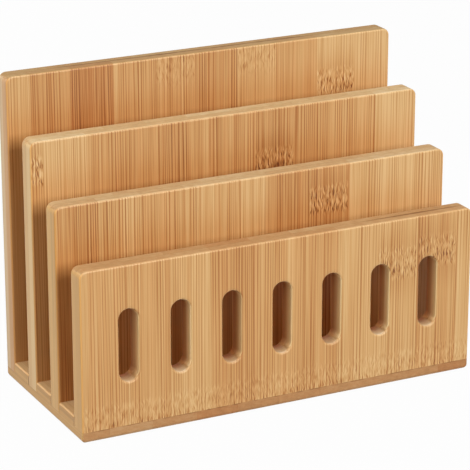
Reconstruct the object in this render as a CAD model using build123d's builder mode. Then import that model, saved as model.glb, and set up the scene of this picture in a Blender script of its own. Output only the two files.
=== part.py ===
from build123d import *
from math import radians, tan
import os

# Letter rack of five bamboo boards. Four uprights of stepped height stand in housings that are cut
# across one base board, and countersunk screws, driven from below, hold the foot of each upright.
# Millimetres: X to the right, Y to the back, Z up, origin at the middle of the base's underside.

# Boards
rack_width = 250.0  # every board, left to right
board_thickness = 12.5  # every board, two plies of bamboo pressed together
compartment_gap = 21.0  # clear space for letters between two uprights
front_panel_height = 95.0
front_divider_height = 122.0
rear_divider_height = 150.5
back_panel_height = 180.0

# Housings that the feet of the uprights stand in
housing_depth = 6.0
glue_line = 0.1  # on each side of a foot

# Sanded edges and corners
edge_radius = 1.2
top_corner_radius = 4.5
underside_radius = 2.6  # round the underside of the base
floor_end_chamfer = 0.8  # at the open ends of the compartment floors

# Slots along the front panel
slot_width = 12.0
slot_pitch = 32.0
slot_end_margin = 25.0  # least distance from a board's end to the middle of a slot
slot_rail = 26.0  # wood left below and above the slots
slot_rim_chamfer = 0.6  # at the front only

# Countersunk wood screws
screws_per_upright = 2
screw_length = 20.0
screw_diameter = 3.5
screw_head_diameter = 7.0
screw_sink = 0.4  # how far the head lies below the underside
screw_head_angle = 90.0  # of the cone under the head
screw_clearance = 0.05

# Places that follow from these sizes
upright_heights = {
    "front_panel": front_panel_height,
    "front_divider": front_divider_height,
    "rear_divider": rear_divider_height,
    "back_panel": back_panel_height,
}
upright_pitch = board_thickness + compartment_gap
centre_span = upright_pitch * (len(upright_heights) - 1)
base_depth = centre_span + board_thickness
upright_centres = {
    name: index * upright_pitch - centre_span / 2 for index, name in enumerate(upright_heights)
}
housing_floor = board_thickness - housing_depth

slot_height = front_panel_height - 2 * slot_rail
slot_middle = housing_floor + front_panel_height / 2
slot_count = 1 + int((rack_width - 2 * slot_end_margin) / slot_pitch)

screw_share = rack_width / screws_per_upright
screw_places = [
    (index + 0.5) * screw_share - rack_width / 2 for index in range(screws_per_upright)
]
screw_tip = screw_sink + screw_length
screw_hole_radius = screw_diameter / 2 + screw_clearance
screw_head_slope = tan(radians(screw_head_angle / 2))
countersink_radius = screw_head_diameter / 2 + screw_clearance + screw_sink * screw_head_slope


def holes_from_below(centre, height):
    """Planes at one upright's screws, looking down out of the wood at the given height."""
    return [Plane((place, centre, height), z_dir=(0, 0, -1)) for place in screw_places]


def build_upright(name):
    """One upright: a board with rounded top corners, eased edges and pilot holes in its foot."""
    centre = upright_centres[name]
    with BuildPart() as upright:
        with BuildSketch(Plane.XZ.offset(-centre)) as outline:
            with Locations((0, housing_floor)):
                Rectangle(rack_width, upright_heights[name], align=(Align.CENTER, Align.MIN))
            fillet(outline.vertices().group_by(Axis.Y)[-1], top_corner_radius)
        extrude(amount=board_thickness / 2, both=True)
        rims = upright.faces().filter_by(Axis.Y).edges()
        foot_rims = rims.group_by(Axis.Z)[0]
        fillet(rims - foot_rims, edge_radius)
        with Locations(*holes_from_below(centre, housing_floor)):
            Hole(screw_hole_radius, screw_tip + screw_clearance - housing_floor)
    return upright.part


def build_screws(name):
    """The screws of one upright, each turned about its own upright axis."""
    centre = upright_centres[name]
    head_radius = screw_head_diameter / 2
    shank_radius = screw_diameter / 2
    cone_top = screw_sink + (head_radius - shank_radius) / screw_head_slope
    with BuildPart() as screws:
        for place in screw_places:
            with BuildSketch(Plane.XZ.offset(-centre)):
                with BuildLine():
                    Polyline(
                        (place, screw_sink),
                        (place + head_radius, screw_sink),
                        (place + shank_radius, cone_top),
                        (place + shank_radius, screw_tip),
                        (place, screw_tip),
                        close=True,
                    )
                make_face()
            revolve(axis=Axis((place, centre, 0), (0, 0, 1)))
    return screws.part


# Base board: comb-shaped section with a rebate at each long edge and two grooves between
with BuildPart() as base_board:
    with BuildSketch(Plane.YZ):
        Rectangle(base_depth, board_thickness, align=(Align.CENTER, Align.MIN))
        with Locations(*[(centre, housing_floor) for centre in upright_centres.values()]):
            Rectangle(
                board_thickness + 2 * glue_line,
                2 * housing_depth,
                align=(Align.CENTER, Align.MIN),
                mode=Mode.SUBTRACT,
            )
    extrude(amount=rack_width / 2, both=True)
    upright_edges = base_board.edges().filter_by(Axis.Z).group_by(Axis.Y)
    fillet(upright_edges[0] + upright_edges[-1], edge_radius)
    fillet(base_board.faces().sort_by(Axis.Z)[0].edges(), underside_radius)
    floor_end_edges = base_board.edges().filter_by(Axis.Y).group_by(Axis.Z)[-1]
    chamfer(floor_end_edges, floor_end_chamfer)
    for centre in upright_centres.values():
        with Locations(*holes_from_below(centre, 0)):
            CounterSinkHole(
                screw_hole_radius, countersink_radius, board_thickness, screw_head_angle
            )

# Front panel: an upright with a row of round-ended slots
with BuildPart() as front_panel:
    add(build_upright("front_panel"))
    with BuildSketch(Plane.XZ.offset(-upright_centres["front_panel"])):
        with Locations((0, slot_middle)):
            with GridLocations(slot_pitch, 0, slot_count, 1):
                SlotOverall(slot_height, slot_width, rotation=90)
    extrude(amount=board_thickness, both=True, mode=Mode.SUBTRACT)
    front_face = front_panel.faces().sort_by(Axis.Y)[0]
    slot_rims = [edge for wire in front_face.inner_wires() for edge in wire.edges()]
    chamfer(slot_rims, slot_rim_chamfer)

pieces = {
    "base_board": base_board.part,
    "front_panel": front_panel.part,
    "front_divider": build_upright("front_divider"),
    "rear_divider": build_upright("rear_divider"),
    "back_panel": build_upright("back_panel"),
}
for name in upright_heights:
    pieces[f"{name}_screws"] = build_screws(name)

os.makedirs("parts", exist_ok=True)
for name, piece in pieces.items():
    piece.label = name
    export_step(piece, f"parts/{name}.step")
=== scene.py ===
"""Looks of a bamboo letter rack: five boards of pressed bamboo strips, held by countersunk screws.

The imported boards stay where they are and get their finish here. The slotted front panel and the screws
are modelled again, with rounded slot rims, cross recesses and threads. Sizes are in millimetres, and
become metres where a mesh, a lamp or the camera is made.
"""

from __future__ import annotations

import logging
import math
import random
from dataclasses import dataclass
from enum import Enum
from typing import Any

import bmesh
import bpy
from bpy.types import ColorRamp, Material, Mesh, Node, NodeSocket, NodeTree, Object, World
from mathutils import Euler, Matrix, Vector


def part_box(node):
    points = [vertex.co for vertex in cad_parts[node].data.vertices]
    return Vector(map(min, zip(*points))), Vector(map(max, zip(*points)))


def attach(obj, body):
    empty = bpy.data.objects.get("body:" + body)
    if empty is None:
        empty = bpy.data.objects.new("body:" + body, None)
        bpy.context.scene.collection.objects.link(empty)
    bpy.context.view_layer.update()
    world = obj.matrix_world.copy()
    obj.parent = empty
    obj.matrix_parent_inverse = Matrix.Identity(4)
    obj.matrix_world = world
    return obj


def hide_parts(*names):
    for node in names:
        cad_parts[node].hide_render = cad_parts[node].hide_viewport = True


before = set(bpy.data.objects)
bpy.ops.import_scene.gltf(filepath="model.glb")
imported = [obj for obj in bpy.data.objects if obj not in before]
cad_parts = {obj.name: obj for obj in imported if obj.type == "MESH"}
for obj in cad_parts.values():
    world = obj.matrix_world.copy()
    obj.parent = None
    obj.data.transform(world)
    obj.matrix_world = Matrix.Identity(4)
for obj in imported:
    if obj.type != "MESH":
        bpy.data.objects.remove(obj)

MM = 0.001
ROOT_BODY = "root"
WHITE = (1.0, 1.0, 1.0)
STOOD_UP = (math.pi / 2, 0.0, 0.0)

Colour = tuple[float, float, float]
Span = tuple[float, float]
Stops = list[tuple[float, Colour]]

log = logging.getLogger("letter_rack")


def colour(code: str) -> Colour:
    """Turns six hex digits into linear red, green and blue, from 0 to 1."""
    shares = [int(code[start:start + 2], 16) / 255 for start in (0, 2, 4)]
    return tuple(s / 12.92 if s <= 0.04045 else ((s + 0.055) / 1.055) ** 2.4 for s in shares)


def cleared_tree(owner: Material | World) -> NodeTree:
    """Returns the node tree of a material or a world, emptied."""
    owner.use_nodes = True
    owner.node_tree.nodes.clear()
    return owner.node_tree


class NodeBench:
    """Adds nodes to one node tree and links them."""

    def __init__(self, tree: NodeTree) -> None:
        """Starts on the shader or geometry tree that the nodes go into."""
        self.tree = tree

    def add(
        self,
        kind: str,
        settings: dict[str, Any] | None = None,
        sockets: dict[str, Any] | None = None,
    ) -> Node:
        """Adds one node.

        Args:
            kind: The node's type.
            settings: Its properties, set first. A colour ramp takes its own interpolation and stops.
            sockets: Values or links of its inputs, by identifier or by name.

        Returns:
            The new node.
        """
        node = self.tree.nodes.new(kind)
        for name, value in (settings or {}).items():
            if name == "stops":
                self._set_stops(node.color_ramp, value)
            elif name == "interpolation":
                node.color_ramp.interpolation = value
            else:
                setattr(node, name, value)
        for name, value in (sockets or {}).items():
            self.feed(self._find_input(node, name), value)
        return node

    def feed(self, socket: NodeSocket, value: Any) -> None:
        """Links an output to an input, or sets the input's own value.

        Args:
            socket: The input.
            value: A signal, an output socket or a plain value.
        """
        source = value.socket if isinstance(value, Signal) else value
        if isinstance(source, NodeSocket):
            self.tree.links.new(source, socket)
        else:
            socket.default_value = source

    @staticmethod
    def _find_input(node: Node, name: str) -> NodeSocket:
        """Returns the input with that identifier, or else the first with that name."""
        for socket in node.inputs:
            if socket.identifier == name:
                return socket
        return node.inputs[name]

    @staticmethod
    def _set_stops(ramp: ColorRamp, stops: Stops) -> None:
        """Gives a colour ramp its stops, from left to right."""
        while len(ramp.elements) < len(stops):
            ramp.elements.new(1.0)
        for element, (position, shade) in zip(ramp.elements, stops):
            element.position = position
            element.color = (*shade, 1.0)

    def signal(self, node: Node, output: str | int = 0) -> Signal:
        """Returns one of a node's outputs as a signal."""
        return Signal(self, node.outputs[output])

    def vector(self, *parts: Signal | float) -> NodeSocket:
        """Returns a vector socket that combines three signals or numbers."""
        node = self.add("ShaderNodeCombineXYZ", sockets=dict(zip("XYZ", parts)))
        return node.outputs["Vector"]

    def split(self, vector: NodeSocket) -> list[Signal]:
        """Returns a vector's three parts as signals."""
        node = self.add("ShaderNodeSeparateXYZ", sockets={"Vector": vector})
        return [Signal(self, output) for output in node.outputs]

    def noise(self, vector: NodeSocket, detail: float = 1.0) -> Signal:
        """Makes noise about 0, with features about one unit of the vector in size."""
        node = self.add("ShaderNodeTexNoise", sockets={"Vector": vector, "Scale": 1.0, "Detail": detail})
        return self.signal(node, "Fac") - 0.5

    def ramp(self, factor: Signal, stops: Stops, interpolation: str = "LINEAR") -> NodeSocket:
        """Returns the colour that a ramp with the given stops has at a factor."""
        settings = {"interpolation": interpolation, "stops": stops}
        return self.add("ShaderNodeValToRGB", settings, {"Fac": factor}).outputs["Color"]

    def blend(self, factor: Signal | float, first: Any, second: Any, how: str = "MIX") -> NodeSocket:
        """Mixes two colours.

        Args:
            factor: 0 for the first colour, 1 for the second.
            first: A colour or its socket.
            second: A colour or its socket.
            how: The Mix node's blend type.

        Returns:
            The mixed colour's socket.
        """
        sides = {
            name: value if isinstance(value, NodeSocket) else (*value, 1.0)
            for name, value in (("A_Color", first), ("B_Color", second))
        }
        node = self.add(
            "ShaderNodeMix",
            {"data_type": "RGBA", "blend_type": how},
            {"Factor_Float": factor, **sides},
        )
        return next(output for output in node.outputs if output.identifier == "Result_Color")

    def mix_shaders(self, factor: Signal | NodeSocket, first: Node, second: Node) -> Node:
        """Mixes two shaders: the first where the factor is 0, the second where it is 1."""
        sides = {"Shader": first.outputs[0], "Shader_001": second.outputs[0]}
        return self.add("ShaderNodeMixShader", sockets={"Fac": factor, **sides})


class Signal:
    """A number that changes over a surface: an output socket, with the maths that is done on it."""

    def __init__(self, bench: NodeBench, socket: NodeSocket) -> None:
        """Wraps an output socket of a node on the bench."""
        self.bench = bench
        self.socket = socket

    def _math(self, operation: str, *values: Signal | float) -> Signal:
        """Adds a Math node and returns its result."""
        node = self.bench.add("ShaderNodeMath", {"operation": operation})
        for socket, value in zip(node.inputs, values):
            self.bench.feed(socket, value)
        return self.bench.signal(node)

    def __add__(self, other: Signal | float) -> Signal:
        """Adds."""
        return self._math("ADD", self, other)

    __radd__ = __add__

    def __sub__(self, other: Signal | float) -> Signal:
        """Subtracts the other from this."""
        return self._math("SUBTRACT", self, other)

    def __rsub__(self, other: Signal | float) -> Signal:
        """Subtracts this from the other."""
        return self._math("SUBTRACT", other, self)

    def __mul__(self, other: Signal | float) -> Signal:
        """Multiplies."""
        return self._math("MULTIPLY", self, other)

    __rmul__ = __mul__

    def __truediv__(self, other: Signal | float) -> Signal:
        """Divides this by the other."""
        return self._math("DIVIDE", self, other)

    def __rtruediv__(self, other: Signal | float) -> Signal:
        """Divides the other by this."""
        return self._math("DIVIDE", other, self)

    def __gt__(self, other: Signal | float) -> Signal:
        """Gives 1 where this is the greater, else 0."""
        return self._math("GREATER_THAN", self, other)

    def __abs__(self) -> Signal:
        """Drops the sign."""
        return self._math("ABSOLUTE", self)

    def greatest(self, other: Signal | float) -> Signal:
        """Gives the greater of the two."""
        return self._math("MAXIMUM", self, other)

    def from_nearest(self, period: float) -> Signal:
        """Gives the distance to the nearest multiple of a period."""
        return self._math("PINGPONG", self, period / 2)

    def wave(self, period: float) -> Signal:
        """Swings between -1 and 1 once in each period."""
        return self._math("SINE", self * (math.tau / period))

    def between(self, low: float, high: float) -> Signal:
        """Rises smoothly from 0 at low to 1 at high, or falls where high is the smaller."""
        node = self.bench.add(
            "ShaderNodeMapRange",
            {"interpolation_type": "SMOOTHSTEP"},
            {"Value": self, "From Min": low, "From Max": high},
        )
        return self.bench.signal(node)

    def short_of(self, edge: float, reach: Span) -> Signal:
        """Goes smoothly from 0 at the first distance short of an edge to 1 at the second."""
        return self.between(edge - reach[0], edge - reach[1])


class Axis(Enum):
    """An axis of the frame, with its place in a vector."""

    X = 0
    Y = 1
    Z = 2


class StripTone(Enum):
    """How light and how red a strip of bamboo is, each from 0 to 1."""

    PALE = (0.61, 0.0)
    STRAW = (0.55, 0.1)
    HONEY = (0.5, 0.25)
    AMBER = (0.45, 0.32)
    RUSSET = (0.39, 0.65)


@dataclass(frozen=True)
class Knuckle:
    """Where a cane's joint crosses a strip: ragged pale tongues with brown between.

    Attributes:
        across: Its middle, from the middle of the board's width.
        along: Its middle, along the grain.
        strength: How much its tongues stand out.
        flare: How much the grain darkens beyond it.
        half_width: Half of its width across the grain.
        half_height: Half of its height along the grain.
        second_ply: True if it lies in the ply at the back or on top.
    """

    across: float
    along: float
    strength: float = 1.0
    flare: float = 1.0
    half_width: float = 13.0
    half_height: float = 9.0
    second_ply: bool = False


@dataclass(frozen=True)
class Ply:
    """One of a board's two layers of strips.

    Attributes:
        seam: Where one of the seams between strips lies, from the middle of the board's width.
        tones: The strips' tones, from left to right.
    """

    seam: float
    tones: tuple[StripTone, ...]


@dataclass(frozen=True)
class GrainLayer:
    """One layer of streaks in the grain.

    Attributes:
        width: Size of a streak across the grain.
        length: Size of a streak along the grain, or along the width on a cut end.
        detail: Octaves of finer streaks within it.
        strength: How much it changes the tone.
    """

    width: float
    length: float
    detail: float
    strength: float


@dataclass(frozen=True)
class BambooFinish:
    """Flat-pressed bamboo, sanded and given a satin clear lacquer.

    A strength is a change of tone, which runs from 0, deep brown, to 1, cream. A span or reach goes from
    where a mark starts to show to where it is full. A shift moves the pattern from strip to strip.
    """

    # Strips and the streaks in their grain
    strip_width: float = 26.67
    strip_shift: Span = (311.0, 97.0)
    bands: GrainLayer = GrainLayer(4.5, 260.0, 1.0, 0.20)
    streaks: GrainLayer = GrainLayer(0.8, 170.0, 1.0, 0.45)
    fibres: GrainLayer = GrainLayer(0.45, 38.0, 1.0, 0.22)
    blush: GrainLayer = GrainLayer(1.6, 240.0, 1.0, 0.9)
    contrast_period: float = 0.37
    contrast_gain: float = 2.6
    least_contrast: float = 0.75

    # Fine brown lines
    line_pitch: float = 1.75
    line_span: Span = (-0.1, 1.0)
    line_strength: float = 0.26
    wander: GrainLayer = GrainLayer(7.0, 500.0, 1.0, 6.0)
    clearness: GrainLayer = GrainLayer(8.0, 160.0, 1.0, 1.0)
    clear_span: Span = (-0.16, 0.12)

    # Bundles of fibres, which show as dots on cut ends, and the patches there
    bundle_size: float = 0.8
    bundle_length: float = 40.0
    bundle_shift: float = 173.0
    bundle_span: Span = (0.45, 0.1)
    bundle_strength: float = 0.06
    bundle_end_strength: float = 0.10
    patches: GrainLayer = GrainLayer(1.5, 3.75, 2.0, 0.30)
    patch_slant: float = 0.9
    patch_shift: float = 41.0

    # Canes' joints, with lengths along the grain in shares of a joint's half height
    column_width: float = 1.3
    column_detail: float = 2.0
    tongue_width: float = 0.75
    tongue_height: float = 5.2
    tongue_raggedness: float = 9.0
    tongue_bend: float = 2.4
    bend_width: float = 4.0
    bend_height: float = 5.0
    tongue_span: Span = (-0.02, 0.13)
    tongue_strength: float = 0.25
    gap_span: Span = (-0.04, -0.18)
    gap_strength: float = 0.36
    knuckle_edge: Span = (0.0, 0.8)
    zone_span: Span = (1.15, 0.65)
    lower_span: Span = (1.0, -0.5)
    flare_span: Span = (2.8, 0.8)
    flare_strength: float = 0.18

    # Seams between strips, and the glue line between plies
    seam_half_width: float = 0.35
    seam_strength: float = 0.16
    seam_end_fade: float = 0.6
    glue_half_width: float = 0.55
    glue_span: Span = (1.0, 0.1)
    glue_strength: float = 0.52
    glue_run: float = 22.0
    glue_detail: float = 2.0
    glue_sway: float = 1.6
    glue_share: float = 0.7
    glue_spread: float = 2.5
    dark_edge: Span = (-15.0, 15.0)
    faint_share: float = 0.25

    # Crack along another board's joint
    crack_run: float = 9.0
    crack_detail: float = 3.0
    crack_span: Span = (0.7, 0.2)
    crack_gaps: Span = (-0.08, 0.08)
    crack_strength: float = 0.4

    # Which way a face points, and where on the board it lies
    facing_span: Span = (0.6, 0.9)
    eased_span: Span = (0.15, 0.45)
    outside_reach: Span = (3.0, 2.0)
    milled_reach: Span = (5.0, 8.0)
    # Reach of the painted shade below the top of a board
    painted_shade_reach: Span = (6.0, 45.0)
    # Depth over which the painted shade in slots darkens towards the rear
    painted_shade_inward_span: Span = (0.2, 1.7)

    # Colours, from dark to pale
    face_shades: tuple[str, ...] = ("6e3f1a", "9f6a34", "bd935d", "d0ae7c", "e0cfa6")
    dark_shares: Colour = (0.46, 0.37, 0.26)
    light_shares: Colour = (1.38, 1.74, 2.4)
    blush_span: Span = (-0.1, 1.1)
    blush_tint: str = "ffe8d8"
    # Painted shade low down between boards: a warmer tint and a small lift of tone
    painted_shade_tint: str = "ffe7cf"
    painted_shade_lift: float = 0.05
    arris_shade: str = "d99a48"
    arris_strength: float = 0.4
    # Paler eased top edges: partly paler sanded fibres, partly a painted highlight
    crest_sanding_and_highlight: float = 0.10
    end_evenness: float = 0.35

    # Lacquer and the feel of the grain
    roughness: float = 0.44
    roughness_spread: float = 0.10
    end_roughness: float = 0.25
    shine: float = 0.35
    coat: float = 0.14
    coat_roughness: float = 0.28
    relief: float = 0.03
    relief_strength: float = 0.5

    def make(self, board: BambooBoard) -> Material:
        """Makes the material of one board, with its own strips, knuckles and seed."""
        material = bpy.data.materials.new(f"bamboo_{board.node}")
        BambooNodes(cleared_tree(material), self, board).build()
        return material


class BambooNodes(NodeBench):
    """The nodes of one board's bamboo, and what they know of a point on the board.

    Attributes:
        finish: The bamboo's finish.
        board: The board.
        seed: The board's seed.
        across: Place across the grain, from the middle of the board's width.
        along: Place along the grain.
        deep: Depth in the board, from its first face.
        second: 1 in the second ply, 0 in the first.
        lightness: The strip's lightness.
        redness: The strip's redness.
        phase: A number of the strip's own, from 0 to 1.
        end: 1 on faces that cut the fibres.
        wall: 1 on narrow faces along the fibres, inside slots too.
        side: 1 on narrow faces along the fibres, at the board's outside.
        arris: 1 on the eased edges along the fibres, at the board's outside.
        crest: 1 on the eased edges across the fibres.
        milled: 1 where a slot or a housing cuts the fibres.
        painted_low_shade: 1 low down on faces that a neighbour shades, where a warmer painted shade goes.
    """

    def __init__(self, tree: NodeTree, finish: BambooFinish, board: BambooBoard) -> None:
        """Reads where a point lies in the board, and which way the board faces there.

        Args:
            tree: The material's tree, empty.
            finish: The bamboo's finish.
            board: The board.
        """
        super().__init__(tree)
        self.finish = finish
        self.board = board
        self.seed = float(board.seed)
        low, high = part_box(board.node)
        width = (high.x - low.x) / MM
        foot, top = (corner[board.grain.value] / MM for corner in (low, high))
        coordinates = self.add("ShaderNodeTexCoord")
        place = self.split(coordinates.outputs["Object"])
        self.across = place[Axis.X.value] / MM
        self.along = place[board.grain.value] / MM
        self.deep = (place[board.depth.value] - low[board.depth.value]) / MM
        self.second = self.deep > board.ply_thickness
        self.lightness, self.redness, self.phase = self._read_strip(width)
        normal = [abs(part) for part in self.split(coordinates.outputs["Normal"])]
        on_end, on_side, on_face = (normal[axis.value] for axis in (board.grain, Axis.X, board.depth))
        outside = abs(self.across).short_of(width / 2, finish.outside_reach)
        self.end = on_end.between(*finish.facing_span)
        self.wall = on_side.between(*finish.facing_span)
        self.side = self.wall * outside
        self.arris = (on_side * on_face).between(*finish.eased_span) * outside
        self.crest = (on_end * on_face).between(*finish.eased_span)
        from_middle = abs(self.along - (foot + top) / 2)
        self.milled = self.end * from_middle.short_of((top - foot) / 2, finish.milled_reach)
        # Painted shade: a warmer tint low down on the faces that neighbouring boards shade
        painted_shade_per_ply = board.painted_low_shade[0] + self.second * (board.painted_low_shade[1] - board.painted_low_shade[0])
        low_down = self.along.short_of(top, finish.painted_shade_reach)
        self.painted_low_shade = low_down * painted_shade_per_ply * (1.0 - self.end) * (1.0 - self.wall)

    def _read_strip(self, width: float) -> list[Signal]:
        """Reads which strip a point lies in.

        Args:
            width: The board's width.

        Returns:
            The strip's lightness, redness and phase.
        """
        chance = random.Random(self.board.seed)
        share = self.across / width + 0.5
        ramps = [
            self.ramp(share, self._strip_stops(ply, width, chance), "CONSTANT") for ply in self.board.plies
        ]
        return self.split(self.blend(self.second, *ramps))

    def _strip_stops(self, ply: Ply, width: float, chance: random.Random) -> Stops:
        """Works out the stops of the ramp that says which strip a point lies in.

        Args:
            ply: The ply's seam and tones.
            width: The board's width.
            chance: Gives each strip its own stretch of grain.

        Returns:
            Position and lightness, redness and phase of each strip.
        """
        strip_width = self.finish.strip_width
        before = math.ceil((ply.seam + width / 2) / strip_width) - 1
        first_seam = ply.seam - before * strip_width
        starts = [0.0]
        while (place := first_seam + (len(starts) - 1) * strip_width + width / 2) < width:
            starts.append(place / width)
        return [
            (start, (*ply.tones[index % len(ply.tones)].value, chance.random()))
            for index, start in enumerate(starts)
        ]

    def build(self) -> None:
        """Puts the tone, the colour and the lacquer together, and ends the tree."""
        finish = self.finish
        grain = self._grain()
        evened = self.end * (0.5 - self.lightness) * finish.end_evenness
        # The paler eased top edges are partly a painted highlight
        sanded = self.lightness + evened + grain + self.crest * finish.crest_sanding_and_highlight
        tone = sanded + self._knuckles() - self._joints()
        relief = self.add(
            "ShaderNodeBump",
            sockets={"Strength": finish.relief_strength, "Distance": finish.relief * MM, "Height": grain},
        )
        dullness = finish.end_roughness * self.end - finish.roughness_spread * grain
        surface = self.add(
            "ShaderNodeBsdfPrincipled",
            sockets={
                "Base Color": self._shade(tone),
                "Roughness": finish.roughness + dullness,
                "Normal": relief.outputs["Normal"],
                "Specular IOR Level": finish.shine,
                "Coat Weight": finish.coat * (1.0 - self.end),
                "Coat Roughness": finish.coat_roughness,
            },
        )
        self.add("ShaderNodeOutputMaterial", sockets={"Surface": surface.outputs["BSDF"]})

    def _layer(self, layer: GrainLayer) -> Signal:
        """Makes one layer of streaks, about 0, in the strip's own stretch of grain."""
        across_shift, deep_shift = self.finish.strip_shift
        vector = self.vector(
            (self.across + self.phase * across_shift) / layer.width,
            (self.deep + self.phase * deep_shift) / layer.width,
            self.along / layer.length + self.seed,
        )
        return self.noise(vector, layer.detail) * layer.strength

    def _lines(self) -> Signal:
        """Draws the fine brown lines, clear in some stretches and faint in others."""
        finish = self.finish
        wandering = self.across + self._layer(finish.wander)
        clear = self._layer(finish.clearness).between(*finish.clear_span)
        return wandering.wave(finish.line_pitch).between(*finish.line_span) * clear * finish.line_strength

    def _grain(self) -> Signal:
        """Adds up the streaks, the lines, and the bundles of fibres with the patches of cut ends.

        Returns:
            The change of tone.
        """
        finish = self.finish
        patches = finish.patches
        contrast = self.phase.from_nearest(finish.contrast_period) * finish.contrast_gain
        streaks = self._layer(finish.streaks) * (contrast + finish.least_contrast)
        bands = self._layer(finish.bands)
        shown = self.board.figure * (1.0 - self.board.side_calm * self.wall)
        long_grain = (streaks + bands + self._layer(finish.fibres) - self._lines()) * shown
        cell = self.vector(
            (self.across + self.phase * finish.bundle_shift) / finish.bundle_size,
            self.deep / finish.bundle_size,
            self.along / finish.bundle_length + self.seed,
        )
        cells = self.add("ShaderNodeTexVoronoi", sockets={"Vector": cell, "Scale": 1.0})
        dots = self.signal(cells, "Distance").between(*finish.bundle_span)
        slanted = self.vector(
            (self.across + self.deep * finish.patch_slant) / patches.length,
            self.deep / patches.width,
            self.phase * finish.patch_shift,
        )
        patchy = self.noise(slanted, patches.detail) * patches.strength
        end_grain = bands + patchy - dots * finish.bundle_end_strength
        return (1.0 - self.end) * (long_grain - dots * finish.bundle_strength) + self.end * end_grain

    def _knuckles(self) -> Signal:
        """Changes the tone where canes' joints cross the strips.

        Returns:
            The change of tone.
        """
        finish = self.finish
        columns = self.vector(self.across / finish.column_width, self.seed, 0.0)
        column = self.noise(columns, finish.column_detail)
        shifted = self.along + column * finish.tongue_raggedness
        coarse = self.vector(self.across / finish.bend_width, self.along / finish.bend_height, self.seed)
        bent = self.across + self.noise(coarse) * finish.tongue_bend
        fine = self.vector(bent / finish.tongue_width, shifted / finish.tongue_height, self.seed)
        weave = self.noise(fine)
        tongues = weave.between(*finish.tongue_span) * finish.tongue_strength
        gaps = weave.between(*finish.gap_span) * finish.gap_strength
        marks = []
        for knuckle in self.board.knuckles:
            ply = self.second if knuckle.second_ply else 1.0 - self.second
            strip = abs(self.across - knuckle.across).short_of(knuckle.half_width, finish.knuckle_edge)
            above = (shifted - knuckle.along) / knuckle.half_height
            near = abs(above)
            figure = tongues - gaps * (above.between(*finish.lower_span) + 0.5)
            figure = near.between(*finish.zone_span) * figure * knuckle.strength
            flare = near.between(*finish.flare_span) * (column + 0.5)
            marks.append(ply * strip * (figure - flare * (finish.flare_strength * knuckle.flare)))
        return sum(marks) * (1.0 - self.end) * (1.0 - self.wall)

    def _joints(self) -> Signal:
        """Darkens the seams between strips, the glue line, and a crack where another board is joined.

        Returns:
            How much darker the tone gets.
        """
        finish = self.finish
        first, second = (ply.seam for ply in self.board.plies)
        from_seam = (self.across - first - self.second * (second - first)).from_nearest(finish.strip_width)
        seam = from_seam.between(finish.seam_half_width, 0.0) * self.phase * finish.seam_strength
        total = seam * (1.0 - finish.seam_end_fade * self.end) + self._glue_line()
        if self.board.joint_height:
            run = self.vector(self.across / finish.crack_run, 0.0, self.seed)
            ragged = self.noise(run, finish.crack_detail)
            crack = abs(self.deep - self.board.joint_height).between(*finish.crack_span)
            total += crack * ragged.between(*finish.crack_gaps) * self.end * finish.crack_strength
        return total

    def _glue_line(self) -> Signal:
        """Draws the glue line between the plies, darker and wider along a stretch of the cut ends.

        Returns:
            How much darker the tone gets.
        """
        finish = self.finish
        board = self.board
        places = self.vector(self.across / finish.glue_run, self.along / finish.glue_run, self.seed)
        run = self.noise(places, finish.glue_detail)
        middle = sum(board.ply_line_span) / 2
        dark = abs(self.across - middle).short_of(board.ply_line_span[1] - middle, finish.dark_edge)
        width = finish.glue_half_width * (run * finish.glue_sway + finish.glue_share)
        width = width * (dark * self.end * finish.glue_spread + 1.0)
        glue = (abs(self.deep - board.ply_thickness) / width).between(*finish.glue_span)
        on_faces = (dark * (1.0 - finish.faint_share) + finish.faint_share) * (1.0 - self.wall)
        on_walls = board.ply_line_on_sides * self.wall
        cut_away = self.end if board.joint_height else self.milled
        return glue * finish.glue_strength * (on_walls + on_faces) * (1.0 - cut_away)

    def _shade(self, tone: Signal) -> NodeSocket:
        """Turns a tone into a colour, for long faces, narrow sides and cut ends.

        Args:
            tone: From 0, deep brown, to 1, cream.

        Returns:
            The colour's socket.
        """
        finish = self.finish
        board = self.board
        steps = len(finish.face_shades) - 1
        face_stops = [(index / steps, colour(shade)) for index, shade in enumerate(finish.face_shades)]
        # The painted shade low down between boards lifts the tone a little, besides its warmer tint below
        lifted = tone + board.floor_lift * self.second + finish.painted_shade_lift * self.painted_low_shade
        face = self.ramp(lifted, face_stops)
        sides = [self._shade_about(shade, tone) for shade in board.side_shades]
        side = self.blend(self.second, sides[0], sides[-1])
        end = self._shade_about(board.end_shade, tone)
        # Painted light and shade on the walls of slots and housings: light at the rim, shade towards the
        # rear and at the round ends
        if board.milled_painted_light_and_shade:
            inward = (self.deep / board.ply_thickness).between(*finish.painted_shade_inward_span)
            rim, rear = (self._shade_about(shade, tone) for shade in board.milled_painted_light_and_shade)
            painted_slot_wall = self.blend(inward, rim, rear)
            painted_round_end = self.blend(1.0, painted_slot_wall, colour(board.round_end_painted_shade), "MULTIPLY")
            end = self.blend(self.milled, end, painted_round_end)
            face = self.blend(self.wall, face, painted_slot_wall)
        mixed = self.blend(self.end, self.blend(self.side, face, side), end)
        rosy = (self.redness + self._layer(finish.blush)).between(*finish.blush_span)
        mixed = self.blend(rosy, mixed, colour(finish.blush_tint), "MULTIPLY")
        # Warmer painted shade low down where neighbouring boards shade the faces
        mixed = self.blend(self.painted_low_shade, mixed, colour(finish.painted_shade_tint), "MULTIPLY")
        return self.blend(self.arris * finish.arris_strength, mixed, colour(finish.arris_shade))

    def _shade_about(self, middle: str, tone: Signal) -> NodeSocket:
        """Turns a tone into a shade of one colour.

        Args:
            middle: Hex code of the colour at a tone of a half.
            tone: From 0, dark, to 1, light.

        Returns:
            The colour's socket.
        """
        shares = {0.0: self.finish.dark_shares, 0.5: WHITE, 1.0: self.finish.light_shares}
        stops = [
            (place, tuple(part * share for part, share in zip(colour(middle), row)))
            for place, row in shares.items()
        ]
        return self.ramp(tone, stops)


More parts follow.
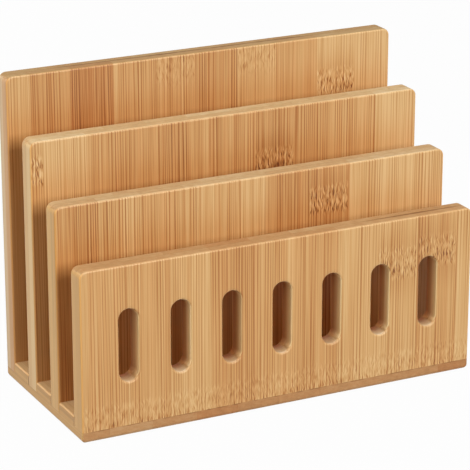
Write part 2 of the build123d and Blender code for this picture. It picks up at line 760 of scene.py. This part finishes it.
@dataclass(frozen=True)
class ZincFinish:
    """Yellow zinc plating on the screws, with clouds of gold, straw and rose."""

    shades: tuple[tuple[float, str], ...] = ((0.3, "b9a15e"), (0.5, "d3bf83"), (0.7, "c9b7a0"))
    cloud_size: float = 1.5
    cloud_detail: float = 3.0
    roughness: float = 0.32
    roughness_spread: float = 0.2

    def make(self) -> Material:
        """Makes the material.

        Returns:
            The material, the same for every screw.
        """
        material = bpy.data.materials.new("yellow_zinc")
        bench = NodeBench(cleared_tree(material))
        clouds = bench.add(
            "ShaderNodeTexNoise",
            sockets={
                "Vector": bench.add("ShaderNodeTexCoord").outputs["Object"],
                "Scale": 1 / (self.cloud_size * MM),
                "Detail": self.cloud_detail,
            },
        )
        cloud = bench.signal(clouds, "Fac")
        surface = bench.add(
            "ShaderNodeBsdfPrincipled",
            sockets={
                "Base Color": bench.ramp(cloud, [(place, colour(shade)) for place, shade in self.shades]),
                "Metallic": 1.0,
                "Roughness": self.roughness + self.roughness_spread * (cloud - 0.5),
            },
        )
        bench.add("ShaderNodeOutputMaterial", sockets={"Surface": surface.outputs["BSDF"]})
        return material


class InputKind(Enum):
    """What an input of a geometry tree holds."""

    LENGTH = "NodeSocketFloat"
    COUNT = "NodeSocketInt"
    PLACE = "NodeSocketVector"
    MATERIAL = "NodeSocketMaterial"


class GeometryTree(NodeBench):
    """A tree of geometry nodes with named inputs, whose result becomes a plain mesh."""

    def __init__(self, name: str, inputs: dict[str, tuple[InputKind, Any]]) -> None:
        """Makes the tree and its inputs.

        Args:
            name: The tree's name.
            inputs: Kind and value of each named input. One of them is "Material".
        """
        super().__init__(bpy.data.node_groups.new(name, "GeometryNodeTree"))
        self.values: dict[str, Any] = {}
        face = self.tree.interface
        face.new_socket("Geometry", in_out="INPUT", socket_type="NodeSocketGeometry")
        face.new_socket("Geometry", in_out="OUTPUT", socket_type="NodeSocketGeometry")
        for label, (kind, value) in inputs.items():
            item = face.new_socket(label, in_out="INPUT", socket_type=kind.value)
            self.values[item.identifier] = value
        self.entry = self.add("NodeGroupInput")

    def take(self, label: str) -> Signal:
        """Returns one of the tree's inputs."""
        return self.signal(self.entry, label)

    def step(self, kind: str, settings: dict[str, Any] | None = None, **sockets: Any) -> NodeSocket:
        """Adds a geometry node and returns its first output.

        Args:
            kind: The node's type, without its common beginning.
            settings: Its properties.
            **sockets: Its inputs, with underscores for the spaces in their names.

        Returns:
            The first output.
        """
        named = {name.replace("_", " "): value for name, value in sockets.items()}
        return self.add(f"GeometryNode{kind}", settings, named).outputs[0]

    def join(self, *parts: NodeSocket) -> NodeSocket:
        """Joins several geometries into one."""
        node = self.add("GeometryNodeJoinGeometry")
        for part in parts:
            self.feed(node.inputs["Geometry"], part)
        return node.outputs["Geometry"]

    def make_mesh(self, geometry: NodeSocket, start: Mesh, name: str) -> Mesh:
        """Ends the tree and turns its result into a plain mesh.

        Args:
            geometry: What the tree has made.
            start: The mesh that goes into the tree.
            name: The new mesh's name.

        Returns:
            The mesh, with no modifier behind it.
        """
        realized = self.step("RealizeInstances", Geometry=geometry)
        painted = self.step("SetMaterial", Geometry=realized, Material=self.take("Material"))
        self.add("NodeGroupOutput", sockets={"Geometry": painted})
        carrier = show(start, f"{name}_carrier")
        modifier = carrier.modifiers.new("nodes", "NODES")
        modifier.node_group = self.tree
        for identifier, value in self.values.items():
            modifier[identifier] = value
        mesh = evaluated_mesh(carrier)
        mesh.name = name
        bpy.data.objects.remove(carrier)
        return mesh


def evaluated_mesh(piece: Object) -> Mesh:
    """Turns an object of the scene, with its modifiers, into a new plain mesh."""
    graph = bpy.context.evaluated_depsgraph_get()
    return bpy.data.meshes.new_from_object(piece.evaluated_get(graph), depsgraph=graph)


def finished_mesh(work: bmesh.types.BMesh, name: str) -> Mesh:
    """Turns a worked mesh in millimetres into a named mesh in metres, and frees it."""
    bmesh.ops.scale(work, vec=(MM, MM, MM), verts=work.verts)
    mesh = bpy.data.meshes.new(name)
    work.to_mesh(mesh)
    work.free()
    return mesh


def show(data: Any, name: str) -> Object:
    """Puts a mesh, a lamp or a camera into the scene, at the origin."""
    thing = bpy.data.objects.new(name, data)
    bpy.context.scene.collection.objects.link(thing)
    return thing


@dataclass
class BambooBoard:
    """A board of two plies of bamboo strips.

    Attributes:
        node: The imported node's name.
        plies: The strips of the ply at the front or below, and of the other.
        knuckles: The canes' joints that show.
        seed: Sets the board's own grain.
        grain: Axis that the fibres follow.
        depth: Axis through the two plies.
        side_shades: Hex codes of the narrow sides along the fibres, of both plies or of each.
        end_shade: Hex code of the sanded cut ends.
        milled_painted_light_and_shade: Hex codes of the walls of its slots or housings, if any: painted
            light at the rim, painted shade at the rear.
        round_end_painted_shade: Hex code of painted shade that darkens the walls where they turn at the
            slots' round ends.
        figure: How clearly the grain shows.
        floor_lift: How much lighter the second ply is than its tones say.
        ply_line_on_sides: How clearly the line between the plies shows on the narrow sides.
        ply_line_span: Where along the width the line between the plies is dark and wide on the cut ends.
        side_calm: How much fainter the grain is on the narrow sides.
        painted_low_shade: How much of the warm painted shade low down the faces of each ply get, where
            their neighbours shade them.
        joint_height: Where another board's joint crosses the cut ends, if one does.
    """

    node: str
    plies: tuple[Ply, Ply]
    knuckles: tuple[Knuckle, ...]
    seed: int
    grain: Axis = Axis.Z
    depth: Axis = Axis.Y
    side_shades: tuple[str, ...] = ("cb9e5a",)
    end_shade: str = "b58b5b"
    milled_painted_light_and_shade: tuple[str, ...] = ()
    round_end_painted_shade: str = "ffffff"
    figure: float = 1.0
    floor_lift: float = 0.0
    ply_line_on_sides: float = 0.1
    ply_line_span: Span = (200.0, 210.0)
    side_calm: float = 0.6
    painted_low_shade: Span = (1.0, 1.0)
    joint_height: float = 0.0

    @property
    def ply_thickness(self) -> float:
        """Half of the board's thickness, from the frame."""
        low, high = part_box(self.node)
        return (high[self.depth.value] - low[self.depth.value]) / MM / 2

    def dress(self, finish: BambooFinish) -> Object:
        """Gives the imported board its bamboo.

        Args:
            finish: The bamboo's finish.

        Returns:
            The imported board's object.
        """
        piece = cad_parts[self.node]
        for index in range(len(piece.data.materials)):
            piece.data.materials[index] = finish.make(self)
        return piece


class PanelTree(GeometryTree):
    """The geometry nodes of the slotted panel, which is made lying on its back and then stood up."""

    def panel(self) -> NodeSocket:
        """Makes the panel out of swept rims and flat faces.

        Returns:
            The panel in its place.
        """
        thickness = self.take("Thickness")
        edge = self.take("Edge Radius")
        rim = self.take("Rim Radius")
        outer_rim = self._sweep(self._outline(0.0, closed=False), self._profile(edge, inward=True))
        slot_rim = self._sweep(self._slot(0.0), self._profile(rim, inward=False))
        slots = self._along_row(self._slot(rim * 2.0))
        front = self.step("FillCurve", Curve=self.join(slots, self._outline(edge * 2.0, closed=True)))
        back = self.step(
            "Transform",
            Geometry=self.step("FlipFaces", Mesh=front),
            Translation=self.vector(0.0, 0.0, thickness * -1.0),
        )
        shell = self.join(outer_rim, self._along_row(slot_rim), front, back, self._foot())
        closed = self.step("MergeByDistance", Geometry=shell, Distance=self.take("Weld"))
        standing = self.step("Transform", Geometry=closed, Rotation=STOOD_UP)
        place = self.add(
            "ShaderNodeVectorMath",
            sockets={"Vector": self.take("Middle"), "Vector_001": self.vector(0.0, thickness * -0.5, 0.0)},
        )
        return self.step("Transform", Geometry=standing, Translation=place.outputs["Vector"])

    def _sweep(self, path: NodeSocket, profile: NodeSocket) -> NodeSocket:
        """Sweeps a profile along a path."""
        return self.step("CurveToMesh", Curve=path, Profile_Curve=profile)

    def _upper(self) -> Signal:
        """Gives 1 in the upper half, else 0."""
        return self.split(self.step("InputPosition"))[Axis.Y.value] > 0.0

    def _polygon(
        self,
        corners: list[tuple[Signal | float, Signal | float]],
        closed: bool,
        rounding: Signal,
        segments: Signal,
    ) -> NodeSocket:
        """Draws four corners, joined by lines, and rounds them.

        Args:
            corners: The corners, in order.
            closed: False to leave out the line from the last corner to the first.
            rounding: Radius at the corners.
            segments: Straight runs in each rounded corner.

        Returns:
            The curve.
        """
        points = {
            f"Point_{index}": self.vector(*corner, 0.0) for index, corner in enumerate(corners, start=1)
        }
        lines = self.step("CurvePrimitiveQuadrilateral", {"mode": "POINTS"}, **points)
        joined = self.step("SetSplineCyclic", Geometry=lines, Cyclic=closed)
        return self.step("FilletCurve", {"mode": "POLY"}, Curve=joined, Count=segments, Radius=rounding)

    def _profile(self, radius: Signal, inward: bool) -> NodeSocket:
        """Draws the line that is swept along a rim: over one edge, through the board, over the other.

        Args:
            radius: Rounding of the two edges.
            inward: True for the outline, where wood lies on the inner side, False for a slot.

        Returns:
            The open curve.
        """
        reach = radius * (-2.0 if inward else 2.0)
        depths = [0.0, self.take("Thickness")]
        if not inward:
            depths.reverse()
        corners = [(reach, depths[0]), (0.0, depths[0]), (0.0, depths[1]), (reach, depths[1])]
        return self._polygon(corners, False, radius, self.take("Edge Segments"))

    def _outline(self, inset: Signal | float, closed: bool) -> NodeSocket:
        """Draws the panel's outline, with its two top corners rounded.

        Args:
            inset: How far inside the outline the curve runs, except at the foot.
            closed: False to leave the foot open.

        Returns:
            The curve, which runs from the foot's right end over the top to its left end.
        """
        half = self.take("Width") * 0.5 - inset
        top = self.take("Height") * 0.5 - inset
        foot = self.take("Height") * -0.5
        corners = [(half, foot), (half, top), (half * -1.0, top), (half * -1.0, foot)]
        rounding = self._upper() * (self.take("Corner Radius") - inset)
        return self._polygon(corners, closed, rounding, self.take("Corner Segments"))

    def _slot(self, outset: Signal | float) -> NodeSocket:
        """Draws one slot: a circle, pulled apart along the grain.

        Args:
            outset: How far outside the slot the curve runs.

        Returns:
            The closed curve, about the origin.
        """
        width = self.take("Slot Width")
        sides = self.take("Slot Sides")
        circle = self.step("CurvePrimitiveCircle", Resolution=sides, Radius=width * 0.5 + outset)
        turned = self.step("Transform", Geometry=circle, Rotation=self.vector(0.0, 0.0, math.pi / sides))
        pull = (self._upper() - 0.5) * (self.take("Slot Height") - width)
        return self.step("SetPosition", Geometry=turned, Offset=self.vector(0.0, pull, 0.0))

    def _along_row(self, piece: NodeSocket) -> NodeSocket:
        """Repeats what belongs to one slot along the row of slots.

        Args:
            piece: A curve or mesh about the origin.

        Returns:
            One copy at each slot.
        """
        pitch = self.take("Slot Pitch")
        count = self.take("Slot Count")
        places = self.step(
            "MeshLine",
            Count=count,
            Start_Location=self.vector((count - 1.0) * pitch * -0.5, 0.0, 0.0),
            Offset=self.vector(pitch, 0.0, 0.0),
        )
        copies = self.step("InstanceOnPoints", Points=places, Instance=piece)
        return self.step("RealizeInstances", Geometry=copies)

    def _foot(self) -> NodeSocket:
        """Closes the panel's foot with a flat face.

        Returns:
            The face, below the panel that lies on its back.
        """
        half = self.take("Width") * 0.5
        behind = self.take("Thickness") * -1.0
        corners = [(half, 0.0), (half * -1.0, 0.0), (half * -1.0, behind), (half, behind)]
        section = self._polygon(corners, True, self.take("Edge Radius"), self.take("Edge Segments"))
        return self.step(
            "Transform",
            Geometry=self.step("FillCurve", Curve=section),
            Rotation=STOOD_UP,
            Translation=self.vector(0.0, self.take("Height") * -0.5, 0.0),
        )


@dataclass
class SlottedPanel(BambooBoard):
    """The front panel, modelled again with soft rims round its slots.

    Attributes:
        top_corner_radius: Rounding of the two top corners.
        corner_segments: Straight runs in each rounded corner.
        slot_count: Number of slots.
        slot_pitch: Distance from slot to slot.
        slot_width: Width of a slot.
        slot_rail: Wood above and below the slots.
        slot_sides: Points round the two ends of a slot.
        edge_radius: Easing of the outer edges.
        rim_radius: Easing of the slot rims.
        edge_segments: Straight runs in each eased edge.
        weld: Greatest distance between two points that become one.
    """

    top_corner_radius: float = 4.5
    corner_segments: int = 14
    slot_count: int = 7
    slot_pitch: float = 32.0
    slot_width: float = 12.0
    slot_rail: float = 26.0
    slot_sides: int = 48
    edge_radius: float = 1.2
    rim_radius: float = 1.4
    edge_segments: int = 6
    weld: float = 0.1

    def dress(self, finish: BambooFinish) -> Object:
        """Builds the panel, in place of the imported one.

        Args:
            finish: The bamboo's finish.

        Returns:
            The new piece.
        """
        tree = self._tree(finish)
        body = show(tree.make_mesh(tree.panel(), bpy.data.meshes.new("empty"), "panel"), "panel_body")
        shading = body.modifiers.new("flat_faces_lead", "WEIGHTED_NORMAL")
        shading.keep_sharp = True
        piece = show(evaluated_mesh(body), f"{self.node}_with_slots")
        bpy.data.objects.remove(body)
        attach(piece, ROOT_BODY)
        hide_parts(self.node)
        return piece

    def _tree(self, finish: BambooFinish) -> PanelTree:
        """Makes the empty tree with the panel's sizes as its inputs.

        Args:
            finish: The bamboo's finish.

        Returns:
            The tree.
        """
        low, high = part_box(self.node)
        size = high - low
        lengths = {
            "Width": size.x,
            "Height": size.z,
            "Thickness": size.y,
            "Corner Radius": self.top_corner_radius * MM,
            "Edge Radius": self.edge_radius * MM,
            "Rim Radius": self.rim_radius * MM,
            "Slot Pitch": self.slot_pitch * MM,
            "Slot Width": self.slot_width * MM,
            "Slot Height": size.z - 2 * self.slot_rail * MM,
            "Weld": self.weld * MM,
        }
        counts = {
            "Slot Count": self.slot_count,
            "Slot Sides": self.slot_sides,
            "Corner Segments": self.corner_segments,
            "Edge Segments": self.edge_segments,
        }
        others = {
            "Middle": (InputKind.PLACE, (low + high) / 2),
            "Material": (InputKind.MATERIAL, finish.make(self)),
        }
        sized = {name: (InputKind.LENGTH, value) for name, value in lengths.items()}
        counted = {name: (InputKind.COUNT, value) for name, value in counts.items()}
        return PanelTree("slotted_panel", sized | counted | others)


@dataclass
class ScrewRow:
    """The countersunk wood screws under one upright.

    Attributes:
        node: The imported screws' node.
        seed: Turns each screw's recess its own way.
        count: Number of screws.
        head_radius: Radius of the flat head.
        head_rim: Height of the straight rim round the head.
        core_radius: Radius at the root of the thread.
        thread_height: How far the thread stands out of the core.
        thread_pitch: Rise of the thread in one turn.
        thread_steepness: How steeply the thread's flanks rise, over a turn.
        tip_length: Length of the pointed tip.
        tip_bluntness: Share of the radius that is left at its end.
        recess_reach: From the screw's axis to the end of a recess arm.
        recess_width: Width of a recess arm.
        recess_depth: Depth of the cross recess.
        recess_narrowing: Share of its width and reach that is left at its floor.
        sides: Points round the screw.
        rings_per_turn: Rings of points in one turn of the thread.
    """

    node: str
    seed: int
    count: int = 2
    head_radius: float = 3.5
    head_rim: float = 0.25
    core_radius: float = 1.25
    thread_height: float = 0.5
    thread_pitch: float = 1.6
    thread_steepness: float = 4.0
    tip_length: float = 3.5
    tip_bluntness: float = 0.06
    recess_reach: float = 1.9
    recess_width: float = 0.85
    recess_depth: float = 1.5
    recess_narrowing: float = 0.55
    sides: int = 28
    rings_per_turn: int = 6

    @property
    def cone_top(self) -> float:
        """Height at which the cone under the head meets the core."""
        return self.head_radius - self.core_radius

    def dress(self, finish: Material) -> Object:
        """Builds the row of screws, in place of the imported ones.

        Args:
            finish: The screws' material.

        Returns:
            The new piece.
        """
        low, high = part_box(self.node)
        centre = (low + high) / 2
        first = Vector((low.x + self.head_radius * MM, centre.y, low.z))
        last = Vector((high.x - self.head_radius * MM, centre.y, low.z))
        tree = GeometryTree(
            f"{self.node}_row",
            {
                "Count": (InputKind.COUNT, self.count),
                "First Place": (InputKind.PLACE, first),
                "Step": (InputKind.PLACE, (last - first) / (self.count - 1)),
                "Seed": (InputKind.COUNT, self.seed),
                "Material": (InputKind.MATERIAL, finish),
            },
        )
        count, start, step, seed = (tree.take(label) for label in ("Count", "First Place", "Step", "Seed"))
        places = tree.step("MeshLine", Count=count, Start_Location=start, Offset=step)
        turns = {"Max_001": math.tau, "Seed": seed}
        turn = tree.add("FunctionNodeRandomValue", {"data_type": "FLOAT"}, turns)
        row = tree.step(
            "InstanceOnPoints",
            Points=places,
            Instance=tree.entry.outputs["Geometry"],
            Rotation=tree.vector(0.0, 0.0, tree.signal(turn, 1)),
        )
        screw = self._screw((high.z - low.z) / MM)
        piece = show(tree.make_mesh(row, screw, f"{self.node}_threaded"), f"{self.node}_threaded")
        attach(piece, ROOT_BODY)
        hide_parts(self.node)
        return piece

    def _screw(self, length: float) -> Mesh:
        """Models one screw, head down, with its flat head at height 0.

        Args:
            length: From the head to the tip.

        Returns:
            The screw's mesh, in metres.
        """
        shaft = bmesh.new()
        rings = [self._ring(shaft, height, length) for height in self._heights(length)]
        for lower, upper in zip(rings, rings[1:]):
            for index in range(self.sides):
                after = (index + 1) % self.sides
                shaft.faces.new((lower[index], lower[after], upper[after], upper[index]))
        shaft.faces.new(reversed(rings[0]))
        shaft.faces.new(rings[-1])
        return self._cut_recess(finished_mesh(shaft, "screw"))

    def _heights(self, length: float) -> list[float]:
        """Returns the heights of the rings: the head's rim, then the thread from the cone to the tip."""
        threaded = length - self.cone_top
        count = int(threaded / (self.thread_pitch / self.rings_per_turn))
        thread = [self.cone_top + threaded * index / count for index in range(count + 1)]
        return [0.0, self.head_rim] + thread

    def _ring(self, shaft: bmesh.types.BMesh, height: float, length: float) -> list[bmesh.types.BMVert]:
        """Adds one ring of points.

        Args:
            shaft: The mesh.
            height: The ring's height.
            length: The screw's length.

        Returns:
            The ring's points.
        """
        taper = min(1.0, (length - height) / self.tip_length + self.tip_bluntness)
        points = []
        for index in range(self.sides):
            share = index / self.sides
            turn = (height / self.thread_pitch - share) % 1.0
            thread = max(0.0, 1 - abs(turn - 0.5) * self.thread_steepness) * self.thread_height
            radius = (self.core_radius + thread) * taper
            if height < self.cone_top:
                radius = min(self.head_radius, self.head_radius - height + self.head_rim)
            angle = math.tau * share
            points.append(shaft.verts.new((radius * math.cos(angle), radius * math.sin(angle), height)))
        return points

    def _cut_recess(self, mesh: Mesh) -> Mesh:
        """Cuts the cross recess into the head.

        Args:
            mesh: The screw without its recess.

        Returns:
            A new mesh with it.
        """
        cutter = bmesh.new()
        for quarter in range(2):
            turned = Matrix.Rotation(quarter * math.pi / 2, 3, "Z")
            for vert in bmesh.ops.create_cube(cutter, size=1.0)["verts"]:
                narrow = self.recess_narrowing if vert.co.z > 0 else 1.0
                vert.co.x *= 2 * self.recess_reach * narrow
                vert.co.y *= self.recess_width * narrow
                vert.co.z *= 2 * self.recess_depth
                vert.co = turned @ vert.co
        tool = show(finished_mesh(cutter, "recess"), "recess_cutter")
        body = show(mesh, "screw_blank")
        cut = body.modifiers.new("recess", "BOOLEAN")
        cut.object = tool
        cut.solver = "EXACT"
        cut.use_self = True
        result = evaluated_mesh(body)
        bpy.data.objects.remove(body)
        bpy.data.objects.remove(tool)
        return result


@dataclass(frozen=True)
class Lamp:
    """A soft box.

    Attributes:
        name: Its name.
        place: Its middle.
        size: Its width and height.
        watts: Its power.
        mirrored: False if the lacquer doesn't mirror it.
    """

    name: str
    place: tuple[float, float, float]
    size: tuple[float, float]
    watts: float
    mirrored: bool = True


@dataclass(frozen=True)
class Studio:
    """Floor, soft light and camera.

    Attributes:
        lamps: The soft boxes, which all face the rack.
        aim: The point that they face.
        ambient: Strength of the light that comes from all round.
        floor_half_width: Half of the floor's width.
        floor_drop: How far the floor lies below the rack's underside.
        floor_white: Share of plain white that the camera sees in the floor, besides its shadow.
        floor_grey: How much light the floor throws back.
        eye: The camera's place.
        yaw: Its turn from straight ahead to the right, in degrees.
        pitch: Its tilt down, in degrees.
        lens: Its focal length.
        sensor: Its sensor's width.
        sight: How far it sees.
    """

    lamps: tuple[Lamp, ...] = (
        Lamp("front_soft_box", (250.0, -1750.0, 870.0), (1000.0, 800.0), 36.5),
        Lamp("front_left_soft_box", (-900.0, -1400.0, 1100.0), (1000.0, 800.0), 5.1),
        Lamp("low_left_soft_box", (-1700.0, -300.0, 500.0), (1100.0, 900.0), 8.1),
        Lamp("high_left_soft_box", (-1100.0, 100.0, 1500.0), (1100.0, 900.0), 7.0),
        Lamp("overhead_soft_box", (-200.0, -200.0, 1900.0), (1200.0, 1200.0), 10.5),
        Lamp("rear_fill", (-500.0, 1600.0, 400.0), (1000.0, 600.0), 24.0, mirrored=False),
        Lamp("right_fill", (1700.0, 100.0, 500.0), (1000.0, 800.0), 6.0, mirrored=False),
    )
    aim: tuple[float, float, float] = (0.0, 0.0, 80.0)
    ambient: float = 0.0
    floor_half_width: float = 30000.0
    floor_drop: float = 0.2
    floor_white: float = 0.975
    floor_grey: float = 0.35
    eye: tuple[float, float, float] = (-615.579, -1222.346, 560.833)
    yaw: float = 26.651
    pitch: float = 19.121
    lens: float = 189.706
    sensor: float = 36.0
    sight: float = 100000.0

    def build(self) -> None:
        """Builds the whole studio."""
        self._build_floor()
        self._build_world()
        for lamp in self.lamps:
            self._hang(lamp)
        self._build_camera()
        bpy.context.scene.view_settings.view_transform = "Standard"

    @staticmethod
    def _seen(bench: NodeBench) -> Signal:
        """Gives 1 for what the camera sees, also in metal and glass, and 0 for light on its way."""
        path = bench.add("ShaderNodeLightPath")
        camera, glossy, through = (
            bench.signal(path, name) for name in ("Is Camera Ray", "Is Glossy Ray", "Is Transmission Ray")
        )
        return camera.greatest(glossy).greatest(through)

    def _build_floor(self) -> None:
        """Builds the pale floor, which shows plain white and a trace of the rack's shadow."""
        half = self.floor_half_width * MM
        level = -self.floor_drop * MM
        mesh = bpy.data.meshes.new("floor")
        corners = [(-half, -half, level), (half, -half, level), (half, half, level), (-half, half, level)]
        mesh.from_pydata(corners, [], [(0, 1, 2, 3)])
        material = bpy.data.materials.new("pale_floor")
        bench = NodeBench(cleared_tree(material))
        grey = (self.floor_grey, self.floor_grey, self.floor_grey, 1.0)
        matt = bench.add("ShaderNodeBsdfDiffuse", sockets={"Color": grey})
        white = bench.add("ShaderNodeEmission", sockets={"Strength": 1.0})
        clear = bench.add("ShaderNodeBsdfTransparent")
        pale = bench.mix_shaders(self._seen(bench) * self.floor_white, matt, white)
        faces = bench.add("ShaderNodeNewGeometry")
        one_way = bench.mix_shaders(faces.outputs["Backfacing"], pale, clear)
        bench.add("ShaderNodeOutputMaterial", sockets={"Surface": one_way.outputs["Shader"]})
        mesh.materials.append(material)
        show(mesh, "floor")

    def _build_world(self) -> None:
        """Builds the light from all round, plain white where it is seen."""
        world = bpy.data.worlds.new("studio")
        bench = NodeBench(cleared_tree(world))
        strength = self.ambient + self._seen(bench) * (1.0 - self.ambient)
        light = bench.add("ShaderNodeBackground", sockets={"Color": (*WHITE, 1.0), "Strength": strength})
        bench.add("ShaderNodeOutputWorld", sockets={"Surface": light.outputs["Background"]})
        bpy.context.scene.world = world

    def _hang(self, lamp: Lamp) -> None:
        """Hangs one soft box so that it faces the rack."""
        light = bpy.data.lights.new(lamp.name, "AREA")
        light.shape = "RECTANGLE"
        light.size, light.size_y = (side * MM for side in lamp.size)
        light.energy = lamp.watts
        box = show(light, lamp.name)
        box.location = Vector(lamp.place) * MM
        box.visible_glossy = lamp.mirrored
        ray = Vector(self.aim) - Vector(lamp.place)
        box.rotation_euler = ray.to_track_quat("-Z", "Y").to_euler()

    def _build_camera(self) -> None:
        """Builds the camera at the photograph's viewing angle."""
        camera = bpy.data.cameras.new("camera")
        camera.lens = self.lens
        camera.sensor_width = self.sensor
        camera.clip_end = self.sight * MM
        eye = show(camera, "camera")
        eye.location = Vector(self.eye) * MM
        eye.rotation_euler = Euler((math.radians(90 - self.pitch), 0.0, math.radians(-self.yaw)))
        bpy.context.scene.camera = eye


def make_boards() -> list[BambooBoard]:
    """Names the strips and knuckles of each board.

    Returns:
        The base board and the four uprights, from front to back.
    """
    pale, straw, honey, amber, russet = StripTone
    hidden = (honey, straw, amber, honey, pale, straw, honey, amber, straw, honey)
    return [
        BambooBoard(
            node="base_board",
            plies=(
                Ply(-2.2, (honey, pale, honey, russet, amber, amber, honey, honey, honey, russet)),
                Ply(6.0, hidden),
            ),
            knuckles=(Knuckle(38.0, 20.0), Knuckle(-69.0, -30.0)),
            seed=5,
            grain=Axis.Y,
            depth=Axis.Z,
            side_shades=("c1934c",),
            end_shade="a87d50",
            # Painted light that brightens the shaded walls of the housings where they show at the ends
            milled_painted_light_and_shade=("e0cba4", "e0cba4"),
            floor_lift=0.27,
            ply_line_on_sides=0.25,
            side_calm=0.0,
            painted_low_shade=(0.0, 0.0),
            joint_height=6.5,
        ),
        SlottedPanel(
            node="front_panel",
            plies=(
                Ply(8.25, (honey, honey, straw, amber, honey, amber, straw, straw, honey, straw)),
                Ply(-18.5, (honey, straw, amber, russet, honey, pale, straw, honey, amber, straw)),
            ),
            knuckles=(
                Knuckle(74.9, 75.0, strength=0.72, half_height=10.5),
                Knuckle(101.6, 79.0, strength=0.72, half_height=10.5),
                Knuckle(0.0, 8.0, strength=0.5, flare=0.0, half_width=126.0, half_height=14.0),
                Knuckle(-30.0, 60.0, second_ply=True),
            ),
            seed=11,
            # Painted light at the slot rims, painted shade towards the rear and at the round ends
            milled_painted_light_and_shade=("f1d29a", "b0764c"),
            round_end_painted_shade="dad7e2",
            figure=0.86,
            ply_line_span=(58.0, 118.0),
            painted_low_shade=(0.0, 1.0),
        ),
        BambooBoard(
            node="front_divider",
            plies=(
                Ply(7.5, (amber, straw, honey, straw, straw, amber, amber, pale, pale, pale)),
                Ply(-6.0, hidden),
            ),
            knuckles=(Knuckle(47.5, 108.5), Knuckle(-60.0, 70.0, second_ply=True)),
            seed=23,
            side_shades=("cea35f",),
            end_shade="c09d6f",
        ),
        BambooBoard(
            node="rear_divider",
            plies=(
                Ply(15.75, (pale, pale, honey, amber, amber, amber, amber, honey, honey, pale, pale)),
                Ply(2.0, hidden),
            ),
            knuckles=(
                Knuckle(-121.0, 140.0, half_width=4.0),
                Knuckle(29.1, 124.5),
                Knuckle(55.0, 90.0, second_ply=True),
            ),
            seed=37,
            side_shades=("d0a86e",),
            end_shade="c8a879",
        ),
        BambooBoard(
            node="back_panel",
            plies=(
                Ply(-5.5, (straw, amber, russet, honey, honey, amber, straw, honey, pale, pale)),
                Ply(10.0, hidden),
            ),
            knuckles=(
                Knuckle(87.9, 157.7),
                Knuckle(-18.9, 190.0, strength=0.32, flare=0.0, half_height=22.0),
                Knuckle(34.5, 190.0, strength=0.32, flare=0.0, half_height=22.0),
                Knuckle(23.3, 120.0, second_ply=True),
                Knuckle(-56.7, 60.0, second_ply=True),
            ),
            seed=53,
            side_shades=("c69560", "d2b488"),
            # Darker cut ends on top than the other uprights: partly the board's own tone, partly painted
            # shade
            end_shade="a78455",
            ply_line_span=(-92.0, 78.0),
            painted_low_shade=(1.0, 0.0),
        ),
    ]


def main() -> None:
    """Builds the studio, dresses the boards and the screws, and reports each piece."""
    logging.basicConfig(level=logging.INFO, format="%(name)s: %(message)s")
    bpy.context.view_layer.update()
    Studio().build()
    bamboo = BambooFinish()
    boards = make_boards()
    for board in boards:
        piece = board.dress(bamboo)
        log.info("%s: %d faces", piece.name, len(piece.data.polygons))
    zinc = ZincFinish().make()
    for board in boards[1:]:
        piece = ScrewRow(f"{board.node}_screws", seed=board.seed).dress(zinc)
        log.info("%s: %d faces", piece.name, len(piece.data.polygons))


if __name__ == "__main__":
    main()
